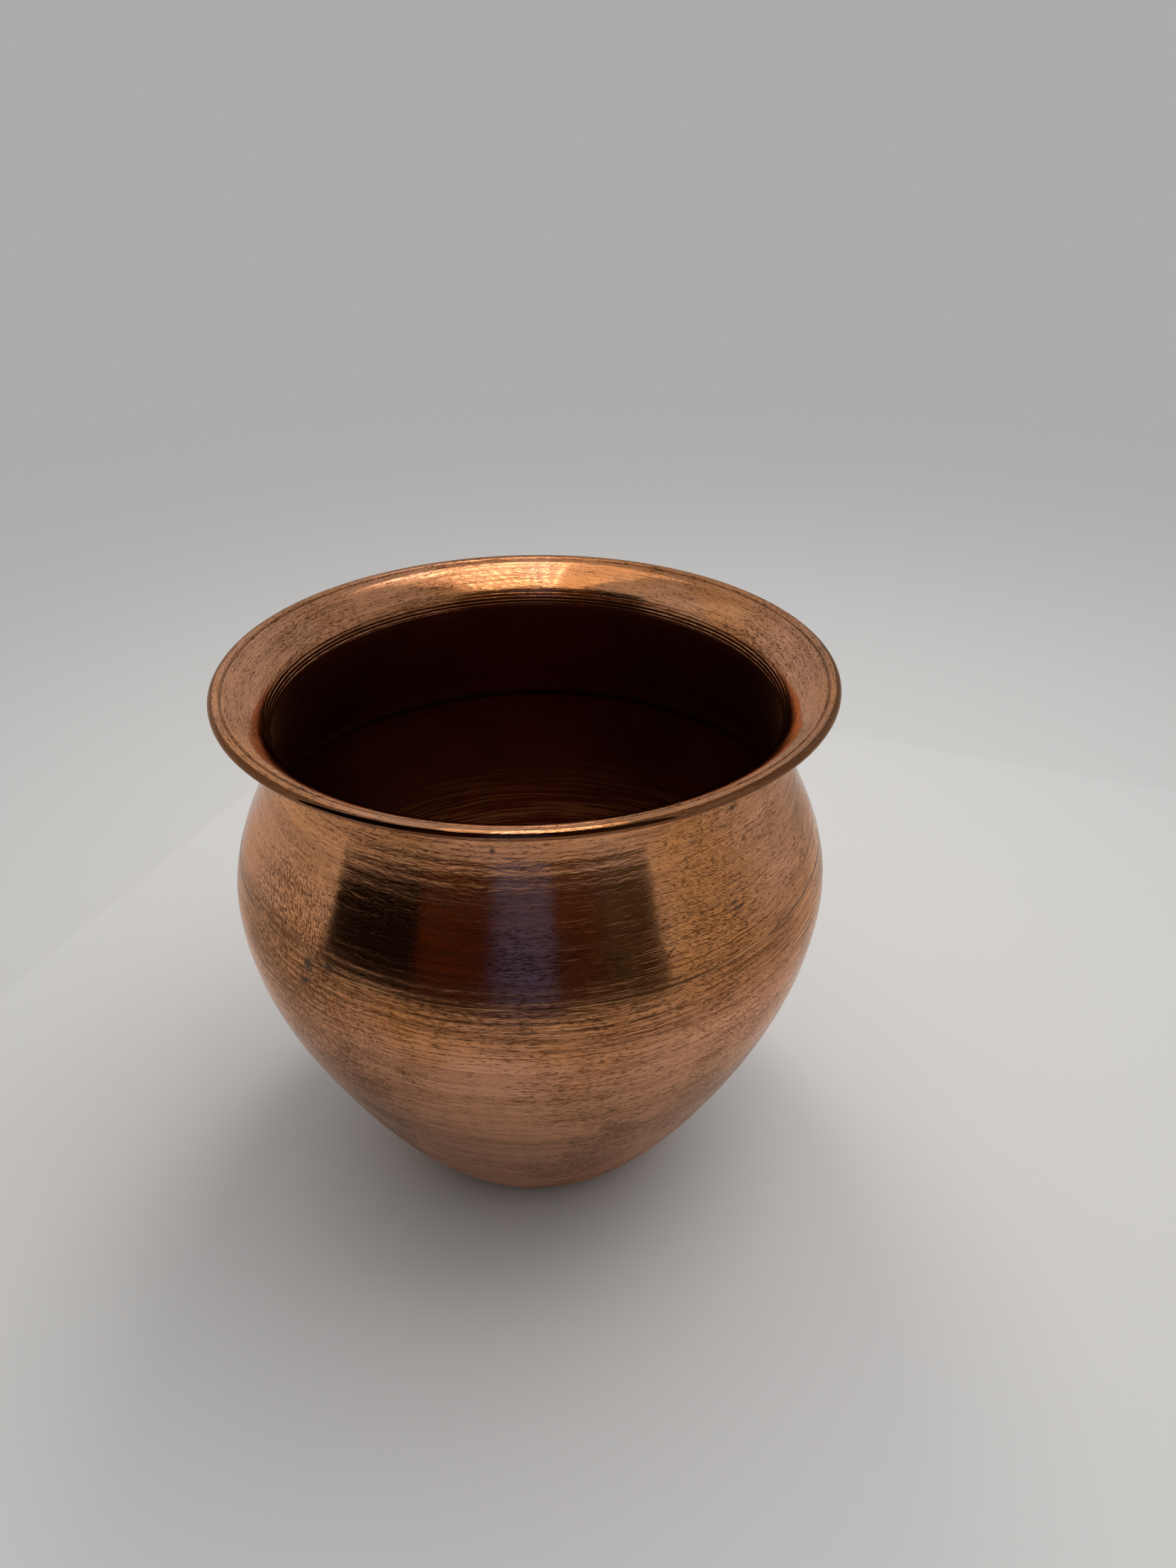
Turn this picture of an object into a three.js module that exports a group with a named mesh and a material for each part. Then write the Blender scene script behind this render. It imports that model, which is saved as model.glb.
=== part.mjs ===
// A small copper kalash: a round water pot made of two spun shells, butted above the belly and brazed.
// Millimetres, +Z up, origin at the centre of the foot. Every piece is turned about the Z axis.
import * as THREE from "three";

const SHEET = 0.6; // thickness of the copper sheet
const FACETS = 64; // flats round every turned face

// Stations up the outer face of the pot. r is the radius, z the height, and heading the way that the face
// runs there, in degrees: 0 is straight outward, 90 straight up, and over 90 leans in.
const FOOT = { r: 14.0, z: 0.0, heading: 0 };
const HEEL = { r: 23.0, z: 4.9, heading: 52 };
const BOWL = { r: 34.4, z: 23.9, heading: 64 };
const BELLY = { r: 42.8, z: 52.2, heading: 90 };
const SEAM = { r: 41.6, z: 58.8, heading: 107.5 };
const SHOULDER = { r: 39.3, z: 64.4, heading: 116 };
const COLLAR = { r: 35.6, z: 75.6, heading: 101 };
const NECK = { r: 35.4, z: 77.5, heading: 90 };
const HEM_END = { r: 38.0, z: 81.5, heading: 35 };
const LIP_ROOT = { r: 39.9, z: 82.6, heading: 20 };

// The lip is the end of the flare, where the sheet is turned under and pressed flat as a hem.
const HEM_THICKNESS = 0.5;
const LIP_EDGE = { r: 42.0, z: 82.95, heading: 90 };
const LIP_CREST = { r: 41.3, z: 83.6, heading: 180 };

// The brazed joint between the two shells.
const BRAZE_GAP = 0.3; // between the edges of the sheets
const BEAD_HALF_WIDTH = 0.7; // of the bead that stands proud inside the pot
const BEAD_HEIGHT = 0.4;

const COPPER = { color: 0xb8714a, roughness: 0.35, metalness: 1 };
const BRAZE_METAL = { color: 0xc79a5b, roughness: 0.45, metalness: 1 };

/** The unit vector of a heading. */
function direction(heading) {
  const angle = THREE.MathUtils.degToRad(heading);
  return new THREE.Vector2(Math.cos(angle), Math.sin(angle));
}

/** The station moved a distance on along the face. */
function along(station, distance) {
  const way = direction(station.heading);
  return { ...station, r: station.r + distance * way.x, z: station.z + distance * way.y };
}

/** The station moved square to the face, towards the inside of the pot. */
function inward(station, distance) {
  const way = direction(station.heading + 90);
  return { ...station, r: station.r + distance * way.x, z: station.z + distance * way.y };
}

/** The same place on an outline that runs the other way. */
function reversed(station) {
  return { ...station, heading: station.heading + 180 };
}

/** The points after one station, up to and including the next, on a curve close to an arc. */
function sweep(from, to, steps) {
  const start = new THREE.Vector2(from.r, from.z);
  const end = new THREE.Vector2(to.r, to.z);
  const turn = THREE.MathUtils.degToRad(to.heading - from.heading);
  const handle = start.distanceTo(end) / (3 * Math.cos(turn / 4) ** 2);
  const leaving = start.clone().addScaledVector(direction(from.heading), handle);
  const arriving = end.clone().addScaledVector(direction(to.heading), -handle);
  return new THREE.CubicBezierCurve(start, leaving, arriving, end).getPoints(steps).slice(1);
}

/** The outline through a list of stops, each a station and the steps that lead to it. */
function outline(stops) {
  const [first] = stops[0];
  const points = [new THREE.Vector2(first.r, first.z)];
  stops.slice(1).forEach(([station, steps], i) => {
    points.push(...sweep(stops[i][0], station, steps));
  });
  return points;
}

/** The stops of a sheet's inside face, run back from the end of its outside face in a number of steps. */
function insideOf(stops, arrival = 1) {
  return stops
    .map(([station], i) => [reversed(inward(station, SHEET)), stops[i + 1]?.[1] ?? arrival])
    .reverse();
}

/** A piece turned about the Z axis from a closed outline. */
function turned(name, points, material) {
  const mesh = new THREE.Mesh(
    new THREE.LatheGeometry(points, FACETS),
    new THREE.MeshStandardMaterial(material),
  );
  mesh.name = name;
  mesh.rotation.x = Math.PI / 2;
  return mesh;
}

/** The lower shell: a flat foot, the bowl and the belly, up to the brazed edge. */
function lowerBowl() {
  const outside = [
    [FOOT, 1],
    [HEEL, 5],
    [BOWL, 4],
    [BELLY, 6],
    [along(SEAM, -BEAD_HALF_WIDTH), 2],
    [along(SEAM, -BRAZE_GAP / 2), 1],
  ];
  const floorCentre = new THREE.Vector2(0, SHEET);
  const footCentre = new THREE.Vector2(0, 0);
  const points = [footCentre, ...outline([...outside, ...insideOf(outside)]), floorCentre];
  return turned("lower_bowl", points, COPPER);
}

/** The upper shell: shoulder, neck and flared mouth, with the lip hemmed under. */
function upperShell() {
  const outside = [
    [along(SEAM, BRAZE_GAP / 2), 1],
    [along(SEAM, BEAD_HALF_WIDTH), 1],
    [SHOULDER, 3],
    [COLLAR, 4],
    [NECK, 1],
    [HEM_END, 5],
  ];
  const lip = [
    [inward(HEM_END, -HEM_THICKNESS), 1],
    [inward(LIP_ROOT, -HEM_THICKNESS), 2],
    [LIP_EDGE, 4],
    [LIP_CREST, 4],
  ];
  const points = outline([...outside, ...lip, ...insideOf([...outside, [LIP_ROOT, 2]], 2)]);
  points.push(points[0].clone());
  return turned("upper_shell", points, COPPER);
}

/** The ring of braze metal: it fills the gap between the shells and stands proud inside as a bead. */
function seamBraze() {
  const lowerEdge = along(SEAM, -BRAZE_GAP / 2);
  const upperEdge = along(SEAM, BRAZE_GAP / 2);
  const points = outline([
    [lowerEdge, 1],
    [upperEdge, 1],
    [inward(upperEdge, SHEET), 1],
    [inward(along(SEAM, BEAD_HALF_WIDTH), SHEET), 1],
    [reversed(inward(SEAM, SHEET + BEAD_HEIGHT)), 2],
    [inward(along(SEAM, -BEAD_HALF_WIDTH), SHEET), 2],
    [inward(lowerEdge, SHEET), 1],
    [lowerEdge, 1],
  ]);
  return turned("seam_braze", points, BRAZE_METAL);
}

const kalash = new THREE.Group();
kalash.name = "kalash";
kalash.add(lowerBowl(), upperShell(), seamBraze());

export default kalash;
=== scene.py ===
"""A small spun copper kalash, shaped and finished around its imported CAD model."""
import logging
import math
from collections.abc import Callable, Mapping, Sequence
from dataclasses import dataclass, field
from enum import Enum

import bmesh
import bpy
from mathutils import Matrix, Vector, noise


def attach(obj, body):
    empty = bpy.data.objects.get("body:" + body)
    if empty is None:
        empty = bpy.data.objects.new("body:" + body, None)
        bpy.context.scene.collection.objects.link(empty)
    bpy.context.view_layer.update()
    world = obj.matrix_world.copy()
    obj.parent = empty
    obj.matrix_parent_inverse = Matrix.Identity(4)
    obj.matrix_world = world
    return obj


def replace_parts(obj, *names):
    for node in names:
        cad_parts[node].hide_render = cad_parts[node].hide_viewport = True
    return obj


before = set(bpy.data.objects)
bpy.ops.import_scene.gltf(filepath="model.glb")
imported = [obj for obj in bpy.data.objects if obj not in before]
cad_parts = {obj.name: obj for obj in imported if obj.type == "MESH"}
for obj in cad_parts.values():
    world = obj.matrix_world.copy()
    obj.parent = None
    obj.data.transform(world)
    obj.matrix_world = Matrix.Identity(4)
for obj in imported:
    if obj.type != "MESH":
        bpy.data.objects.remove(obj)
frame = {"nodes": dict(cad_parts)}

MM = 0.001  # metres in a millimetre
BODY = "root"
FACETS = 240  # flats round every turned face
STEP = 0.6  # usual distance between the points of an outline, in mm
FLAT_STEP = 1.5  # the same on the flat foot
SHEET = 0.6  # thickness of the copper sheet, in mm
WAY = "way"  # mesh attribute: distance along the outline, in mm
INNER = "inner"  # mesh attribute: 0 on the scoured faces, 1 inside the pot, and between in the throat, where the inside's dark oxide and painted shade lie
SUNK = "sunk"  # mesh attribute: how far a tool mark sinks the surface, in mm
THROAT_TOP = 81.0  # height at which the painted shade has faded out up the throat, in mm
THROAT_FADE = 2.6  # height over which it fades, in mm
THROAT_SHADE = 0.75  # strength of the painted shade at the bottom of the throat
ACROSS_THE_TURNING = 0.25  # anisotropic rotation that blurs reflections up and down the wall
SMOOTH_ANGLE = 50.0  # edges sharper than this stay sharp, in degrees

log = logging.getLogger("kalash")


# ---------------------------------------------------------------------------------------------- outlines


def held(value: float) -> float:
    """A number held between 0 and 1."""
    return max(0.0, min(1.0, value))


def bump_at(value: float, centre: float, reach: float) -> float:
    """A smooth bump: 1 at the centre, and almost 0 at twice the reach from it."""
    return math.exp(-(((value - centre) / reach) ** 2))


@dataclass(frozen=True)
class Ripple:
    """Evenly spaced lines that a tool leaves. Height and pitch are in mm."""

    height: float
    pitch: float
    shift: float = 0.0

    def at(self, distance: float) -> float:
        """The lift at a distance across the lines, in mm."""
        return self.height * math.sin(math.tau * distance / self.pitch + self.shift)


@dataclass(frozen=True)
class Station:
    """A place on an outline: its radius and height in mm, and the way that the outline heads there.

    A heading of 0 degrees is straight outward, 90 straight up, and over 90 leans in.
    """

    r: float
    z: float
    heading: float

    def direction(self) -> Vector:
        """The unit vector of the heading, as radius and height."""
        angle = math.radians(self.heading)
        return Vector((math.cos(angle), math.sin(angle)))

    def along(self, distance: float) -> "Station":
        """The station moved on along its own heading by a distance in mm."""
        way = self.direction()
        return Station(self.r + distance * way.x, self.z + distance * way.y, self.heading)

    def inward(self, distance: float) -> "Station":
        """The station moved square to the outline, towards the inside of the pot, by a distance in mm."""
        way = self.direction()
        return Station(self.r - distance * way.y, self.z + distance * way.x, self.heading)

    def reversed(self) -> "Station":
        """The same place on an outline that runs the other way."""
        return Station(self.r, self.z, self.heading + 180.0)


@dataclass(frozen=True)
class PotShape:
    """The stations up the outer face of the pot, from the foot to the lip."""

    foot: Station = Station(14.0, 0.0, 0.0)
    heel: Station = Station(23.0, 4.9, 52.0)
    bowl: Station = Station(34.4, 23.9, 64.0)
    belly: Station = Station(42.8, 52.2, 90.0)
    seam: Station = Station(41.6, 58.8, 107.5)
    shoulder: Station = Station(39.3, 64.4, 116.0)
    collar: Station = Station(35.6, 75.6, 101.0)
    neck: Station = Station(35.4, 77.5, 90.0)
    hem_end: Station = Station(38.0, 81.5, 35.0)
    lip_root: Station = Station(39.9, 82.6, 20.0)
    lip_edge: Station = Station(42.0, 82.95, 90.0)
    lip_crest: Station = Station(41.3, 83.6, 180.0)


class Zone(Enum):
    """The stretches of an outline, each with tool marks and a finish of its own."""

    OUTSIDE = "outside"
    MOUTH = "mouth"
    INSIDE = "inside"


@dataclass
class TurnedPoint:
    """A point of an outline, in mm, with its distance along the outline and the lift of its tool mark."""

    r: float
    z: float
    way: float
    zone: Zone
    lift: float = 0.0

    def darkened(self) -> float:
        """How dark the sheet is made here: dark oxide and painted shade inside the pot, and painted shade
        fading up the throat.

        Returns:
            1 inside the pot, 0 outside it, and between the two in the throat.
        """
        if self.zone is Zone.MOUTH:
            return THROAT_SHADE * held((THROAT_TOP - self.z) / THROAT_FADE)
        return 1.0 if self.zone is Zone.INSIDE else 0.0


@dataclass
class Outline:
    """A turned piece's outline, drawn from station to station."""

    start: Station
    way: float = 0.0
    zone: Zone = Zone.OUTSIDE
    points: list[TurnedPoint] = field(default_factory=list)
    at: Station = field(init=False)

    def __post_init__(self) -> None:
        """Puts down the first point."""
        self.at = self.start
        self.points.append(TurnedPoint(self.start.r, self.start.z, self.way, self.zone))

    def line_to(self, end: Station) -> "Outline":
        """Goes straight to a station, with no points between.

        Args:
            end: the station.

        Returns:
            The outline itself.
        """
        self._put(Vector((end.r, end.z)))
        self.at = end
        return self

    def sweep_to(self, end: Station, step: float = STEP) -> "Outline":
        """Goes to a station on a curve close to an arc.

        Args:
            end: where the curve ends, with its heading there.
            step: the distance between points, in mm.

        Returns:
            The outline itself, so that stretches can be chained.
        """
        begin = Vector((self.at.r, self.at.z))
        finish = Vector((end.r, end.z))
        chord = (finish - begin).length
        turn = math.radians(end.heading - self.at.heading)
        handle = chord / (3.0 * math.cos(turn / 4.0) ** 2)
        leaving = begin + self.at.direction() * handle
        arriving = finish - end.direction() * handle
        count = max(2, round(chord / step))
        for i in range(1, count + 1):
            t = i / count
            s = 1.0 - t
            self._put(begin * s**3 + leaving * 3 * s * s * t + arriving * 3 * s * t * t + finish * t**3)
        self.at = end
        return self

    def enter(self, zone: Zone) -> "Outline":
        """Sets the zone of the points that follow, and returns itself."""
        self.zone = zone
        return self

    def _put(self, place: Vector) -> None:
        """Adds a point, and counts the distance to it."""
        last = self.points[-1]
        self.way += math.hypot(place.x - last.r, place.y - last.z)
        self.points.append(TurnedPoint(place.x, place.y, self.way, self.zone))

    def tooled(self, depth: Callable[[TurnedPoint], float]) -> "Outline":
        """Raises or sinks every point square to the outline by a turning tool's mark.

        Args:
            depth: gives a point's lift, in mm.

        Returns:
            The outline itself.
        """
        moves = []
        for before, here, after in zip(self.points, self.points[1:], self.points[2:]):
            run = Vector((after.r - before.r, after.z - before.z)).normalized()
            moves.append((here, run, depth(here)))
        for point, run, lift in moves:
            point.r += run.y * lift
            point.z -= run.x * lift
            point.lift = lift
        return self


# --------------------------------------------------------------------------------------- turned meshes


@dataclass(frozen=True)
class MakersHand:
    """The slow, shallow wander of a spun wall from a true circle. Sizes are in mm."""

    slow_depth: float = 0.085
    slow_size: float = 31.0
    slow_squash: float = 1.6  # how many times shorter the wander is upward than round the pot
    quick_depth: float = 0.016
    quick_size: float = 9.0
    quick_squash: float = 2.0
    quick_place: tuple[float, float, float] = (7.3, 1.9, 4.4)
    true_radius: float = 1.0  # nearer to the axis than this nothing strays
    full_radius: float = 20.0  # farther out than this it strays in full
    full_height: float = 6.0  # the foot is flat, and above this height the wall strays in full

    def stray(self, place: Vector) -> Vector:
        """How far the wall strays at a place.

        Args:
            place: where on the wall, in metres.

        Returns:
            The way and the distance that the place moves, in metres.
        """
        radius = math.hypot(place.x, place.y)
        if radius < self.true_radius * MM:
            return Vector((0.0, 0.0, 0.0))
        outward = Vector((place.x / radius, place.y / radius, 0.0))
        slow_at = Vector((place.x, place.y, place.z * self.slow_squash)) / (self.slow_size * MM)
        quick_at = Vector((place.x, place.y, place.z * self.quick_squash)) / (self.quick_size * MM)
        slow = noise.noise(slow_at)
        quick = noise.noise(quick_at + Vector(self.quick_place))
        grip = held(radius / (self.full_radius * MM)) * held(place.z / (self.full_height * MM))
        return outward * ((self.slow_depth * slow + self.quick_depth * quick) * MM * grip)


def turn_on_the_lathe(name: str, outline: Outline, closed: bool) -> bpy.types.Object:
    """Spins an outline once round the pot's axis.

    Args:
        name: the new object's name.
        outline: the outline, in mm.
        closed: whether the outline's end joins its start. If not, both lie on the axis.

    Returns:
        A mesh object at the origin, with the attributes WAY, INNER and SUNK on its points.
    """
    bm = bmesh.new()
    way_layer = bm.verts.layers.float.new(WAY)
    inner_layer = bm.verts.layers.float.new(INNER)
    sunk_layer = bm.verts.layers.float.new(SUNK)
    verts = []
    for point in outline.points:
        vert = bm.verts.new((point.r * MM, 0.0, point.z * MM))
        vert[way_layer] = point.way
        vert[inner_layer] = point.darkened()
        vert[sunk_layer] = max(0.0, -point.lift)
        verts.append(vert)
    edges = [bm.edges.new(pair) for pair in zip(verts, verts[1:])]
    if closed:
        edges.append(bm.edges.new((verts[-1], verts[0])))
    bmesh.ops.spin(
        bm,
        geom=[*verts, *edges],
        cent=(0.0, 0.0, 0.0),
        axis=(0.0, 0.0, 1.0),
        dvec=(0.0, 0.0, 0.0),
        angle=math.tau,
        steps=FACETS,
        use_merge=True,
        use_duplicate=False,
    )
    bmesh.ops.remove_doubles(bm, verts=bm.verts, dist=0.0005 * MM)
    bmesh.ops.dissolve_degenerate(bm, dist=0.0001 * MM, edges=bm.edges)
    bmesh.ops.recalc_face_normals(bm, faces=bm.faces)
    hand = MakersHand()
    for vert in bm.verts:
        vert.co += hand.stray(vert.co)
    mesh = bpy.data.meshes.new(name)
    bm.to_mesh(mesh)
    bm.free()
    mesh.shade_smooth()
    mesh.set_sharp_from_angle(angle=math.radians(SMOOTH_ANGLE))
    piece = bpy.data.objects.new(name, mesh)
    bpy.context.scene.collection.objects.link(piece)
    return piece


# -------------------------------------------------------------------------------------- shader building


class Field:
    """A number that varies over a surface, with the arithmetic that shader maths is written in."""

    def __init__(self, shader: "Shader", socket: bpy.types.NodeSocket) -> None:
        """Wraps an output socket of a shader's node."""
        self.shader = shader
        self.socket = socket

    def __add__(self, other: "Field | float") -> "Field":
        """self + other."""
        return self.shader.maths("ADD", self, other)

    __radd__ = __add__

    def __sub__(self, other: "Field | float") -> "Field":
        """self - other."""
        return self.shader.maths("SUBTRACT", self, other)

    def __rsub__(self, other: float) -> "Field":
        """other - self."""
        return self.shader.maths("SUBTRACT", other, self)

    def __mul__(self, other: "Field | float") -> "Field":
        """self * other."""
        return self.shader.maths("MULTIPLY", self, other)

    __rmul__ = __mul__

    def __truediv__(self, other: "Field | float") -> "Field":
        """self / other."""
        return self.shader.maths("DIVIDE", self, other)

    def __abs__(self) -> "Field":
        """The size of self without its sign."""
        return self.shader.maths("ABSOLUTE", self)

    def clamp(self) -> "Field":
        """self held between 0 and 1."""
        return self.shader.maths("ADD", self, 0.0, clamp=True)

    def rise(self, low: "Field | float", high: "Field | float") -> "Field":
        """0 below low and 1 above high.

        Args:
            low: where the step begins.
            high: where it ends.

        Returns:
            A smooth step between 0 and 1.
        """
        node = self.shader.node(
            "MapRange",
            {"interpolation_type": "SMOOTHSTEP"},
            {"Value": self, "From Min": low, "From Max": high},
        )
        return Field(self.shader, node.outputs["Result"])

    def near(self, centre: float, reach: float) -> "Field":
        """1 at centre, falling smoothly to 0 at a distance of reach on either side."""
        return (1.0 - abs(self - centre) / reach).rise(0.0, 1.0)


Feed = Field | bpy.types.NodeSocket | float | Sequence[float]


class Shader:
    """The node tree of a material or a world, and the one way that its nodes are made."""

    def __init__(self, owner: bpy.types.Material | bpy.types.World) -> None:
        """Empties the owner's node tree."""
        self.owner = owner
        owner.use_nodes = True
        self.tree = owner.node_tree
        self.tree.nodes.clear()

    def node(
        self,
        kind: str,
        settings: Mapping[str, object] | None = None,
        inputs: Mapping[str | int, Feed] | None = None,
    ) -> bpy.types.Node:
        """Adds a node.

        Args:
            kind: the node's type without its ShaderNode prefix.
            settings: the node's properties, which are set first.
            inputs: values or links for its sockets, by name or number.

        Returns:
            The new node.
        """
        made = self.tree.nodes.new("ShaderNode" + kind)
        for key, value in (settings or {}).items():
            setattr(made, key, value)
        for key, value in (inputs or {}).items():
            self.feed(made.inputs[key], value)
        return made

    def feed(self, socket: bpy.types.NodeSocket, value: Feed) -> None:
        """Links a field or socket to an input, or sets its value.

        Args:
            socket: the input.
            value: a field, a socket, a number or a colour.
        """
        source = value.socket if isinstance(value, Field) else value
        if isinstance(source, bpy.types.NodeSocket):
            self.tree.links.new(source, socket)
        else:
            socket.default_value = source

    def maths(self, operation: str, *values: Feed, clamp: bool = False) -> Field:
        """Adds a Math node.

        Args:
            operation: the node's operation.
            values: its inputs, in order.
            clamp: whether the answer is held between 0 and 1.

        Returns:
            The answer.
        """
        settings = {"operation": operation, "use_clamp": clamp}
        return Field(self, self.node("Math", settings, dict(enumerate(values))).outputs[0])

    def vector(self, x: Feed, y: Feed, z: Feed) -> bpy.types.NodeSocket:
        """A vector from three numbers."""
        return self.node("CombineXYZ", None, {0: x, 1: y, 2: z}).outputs[0]

    def mix(self, factor: Feed, first: Feed, second: Feed) -> bpy.types.NodeSocket:
        """Goes from one colour to another.

        Args:
            factor: how much of the second there is.
            first: the colour at 0.
            second: the colour at 1.

        Returns:
            The colour between them.
        """
        made = self.node("Mix", {"data_type": "RGBA"}, {0: factor, 6: first, 7: second})
        return made.outputs[2]

    def noise(self, place: Feed, detail: float = 2.0, roughness: float = 0.5, twist: float = 0.0) -> Field:
        """Fractal noise with features about one unit across.

        Args:
            place: where in the noise to look.
            detail: the number of finer octaves.
            roughness: how strong the finer octaves are.
            twist: how far the noise is distorted.

        Returns:
            The noise, mostly between 0.3 and 0.7.
        """
        inputs = {"Vector": place, "Scale": 1.0, "Detail": detail}
        inputs |= {"Roughness": roughness, "Distortion": twist}
        return Field(self, self.node("TexNoise", {"noise_dimensions": "3D"}, inputs).outputs[0])


@dataclass(frozen=True)
class Mark:
    """One kind of mark: its grain, where it begins to show, and what it does to the sheet."""

    length: float  # size of its features along it, in mm
    width: float  # their size across it, in mm
    offset: float  # its place in the noise
    detail: float = 2.0
    roughness: float = 0.5
    slope: float = 0.0  # mm moved round the pot for each mm up, or 0 for a mark that runs round it
    cut: tuple[float, float] = (0.5, 0.6)  # noise at which it begins to show, and shows in full
    eased: tuple[float, float] = (0.0, 0.0)  # how far full wear lowers each
    strength: float = 0.0  # the tarnish that it holds
    relief: float = 0.0  # how far it lifts the surface, in mm


@dataclass(frozen=True)
class Patch:
    """A soft round patch on the wall."""

    azimuth: float  # where it is round the pot, in degrees from -Y towards +X
    height: float  # in mm
    reach: float  # how far it goes to each side, in mm
    flatness: float = 1.0  # how many times wider it is than high


class TurnedFace:
    """The coordinates of a turned surface, in millimetres, which the finishes are drawn in."""

    GAUGE = 38.0  # radius at which distances round the pot are true, in mm

    def __init__(self, shader: Shader) -> None:
        """Reads the object's own coordinates and the attributes that the lathe left."""
        self.shader = shader
        place = shader.node("TexCoord").outputs["Object"]
        scaled = shader.node("VectorMath", {"operation": "SCALE"}, {0: place, "Scale": 1.0 / MM})
        self.place = scaled.outputs[0]
        split = shader.node("SeparateXYZ", None, {0: self.place})
        self.height = Field(shader, split.outputs[2])
        flat = shader.node("VectorMath", {"operation": "MULTIPLY"}, {0: self.place, 1: (1.0, 1.0, 0.0)})
        self.around = shader.node("VectorMath", {"operation": "NORMALIZE"}, {0: flat.outputs[0]}).outputs[0]
        length = shader.node("VectorMath", {"operation": "LENGTH"}, {0: flat.outputs[0]})
        self.radius = Field(shader, length.outputs["Value"])
        self.way = self._attribute(WAY)
        self.inner = self._attribute(INNER)
        self.sunk = self._attribute(SUNK)

    def _attribute(self, name: str) -> Field:
        """One of the mesh's own numbers."""
        settings = {"attribute_type": "GEOMETRY", "attribute_name": name}
        return Field(self.shader, self.shader.node("Attribute", settings).outputs["Fac"])

    def marks(self, mark: Mark, wander: Field | float = 0.0) -> Field:
        """The noise of one kind of mark.

        Args:
            mark: its grain.
            wander: how far it strays along the outline, in mm.

        Returns:
            The noise, mostly between 0.3 and 0.7.
        """
        place = self._slant(mark) if mark.slope else self._ring(mark, wander)
        return self.shader.noise(place, mark.detail, mark.roughness)

    def _ring(self, mark: Mark, wander: Field | float) -> bpy.types.NodeSocket:
        """Noise space in which a mark is drawn out round the pot.

        Args:
            mark: its grain.
            wander: how far it strays along the outline, in mm.

        Returns:
            The place in noise space.
        """
        scale = self.GAUGE / mark.length
        split = self.shader.node("SeparateXYZ", None, {0: self.around})
        x = Field(self.shader, split.outputs[0]) * scale
        y = Field(self.shader, split.outputs[1]) * scale
        up = (self.way + wander) / mark.width
        return self.shader.vector(x + mark.offset, y + mark.offset, up + mark.offset)

    def _slant(self, mark: Mark) -> bpy.types.NodeSocket:
        """Noise space in which a mark is drawn out up the wall, on its slope.

        Args:
            mark: its grain.

        Returns:
            The place in noise space.
        """
        angle = self.way * (mark.slope / self.GAUGE)
        turned = self.shader.node(
            "VectorRotate", {"rotation_type": "Z_AXIS"}, {"Vector": self.around, "Angle": angle}
        )
        split = self.shader.node("SeparateXYZ", None, {0: turned.outputs[0]})
        scale = self.GAUGE / mark.width
        x = Field(self.shader, split.outputs[0]) * scale
        y = Field(self.shader, split.outputs[1]) * scale
        up = self.way / mark.length
        return self.shader.vector(x + mark.offset, y + mark.offset, up + mark.offset)

    def cloud(self, size: float, offset: float = 0.0) -> bpy.types.NodeSocket:
        """Noise space in which a feature has the same size every way, in mm."""
        inputs = {0: self.place, 1: (1.0 / size,) * 3, 2: (offset,) * 3}
        return self.shader.node("VectorMath", {"operation": "MULTIPLY_ADD"}, inputs).outputs[0]

    def within(self, patch: Patch) -> Field:
        """A patch on the wall.

        Args:
            patch: where it is.

        Returns:
            1 in its middle, falling smoothly to 0 at its edge.
        """
        angle = math.radians(patch.azimuth)
        up = patch.height * patch.flatness
        centre = (self.GAUGE * math.sin(angle), -self.GAUGE * math.cos(angle), up)
        wall = self.shader.node("VectorMath", {"operation": "SCALE"}, {0: self.around, "Scale": self.GAUGE})
        split = self.shader.node("SeparateXYZ", None, {0: wall.outputs[0]})
        place = self.shader.vector(split.outputs[0], split.outputs[1], self.height * patch.flatness)
        inputs = {0: place, 1: centre}
        gap = self.shader.node("VectorMath", {"operation": "DISTANCE"}, inputs).outputs["Value"]
        return (1.0 - Field(self.shader, gap) / patch.reach).rise(0.0, 1.0)


# --------------------------------------------------------------------------------------------- finishes

Colour = tuple[float, float, float, float]


@dataclass(frozen=True)
class Wear:
    """Where the copper is scoured, rubbed, golden or dull, each from 0 to 1 over the surface."""

    patches: Field
    lined: Field
    woven: Field
    hatched: Field
    flecked: Field
    golden: Field
    dull: Field
    nicked: Field


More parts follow.
